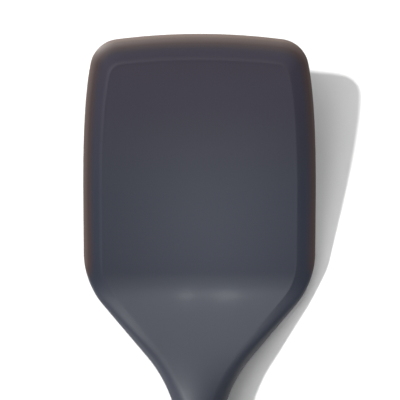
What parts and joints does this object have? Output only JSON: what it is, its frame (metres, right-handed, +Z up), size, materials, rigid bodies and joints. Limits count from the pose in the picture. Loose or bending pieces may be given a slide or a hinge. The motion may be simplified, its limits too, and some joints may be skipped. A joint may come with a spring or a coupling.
{
  "type": "silicone turner",
  "caption": "Flexible kitchen turner: broad silicone blade with a thin soft lip over a spring-steel core, rising from a bent heel to an oval neck and a soft-grip handle with a hanging eyelet.",
  "frame": {"origin": "on the table, under the middle of the turner's length and width, as it lies face up", "axes": "+Y along the turner towards the tip edge of the blade, +X to the right seen from above, +Z up from the table"},
  "size_m": [0.083, 0.317, 0.023],
  "materials": {
    "silicone": "satin dark slate silicone, brownish and see-through where the lip is thin",
    "spring_steel": "rolled spring steel",
    "rivet_steel": "turned steel",
    "nylon": "glass-filled black nylon",
    "handle_plastic": "satin moulded black plastic",
    "grip_rubber": "matt soft-touch black rubber"
  },
  "bodies": {
    "root": {"silicone_head": "silicone", "core_plate": "spring_steel", "core_rivet_front": "rivet_steel", "core_rivet_rear": "rivet_steel", "nylon_shank": "nylon", "handle_core": "handle_plastic", "tang_pin_front": "rivet_steel", "tang_pin_rear": "rivet_steel", "soft_grip": "grip_rubber"}
  },
  "joints": []
}
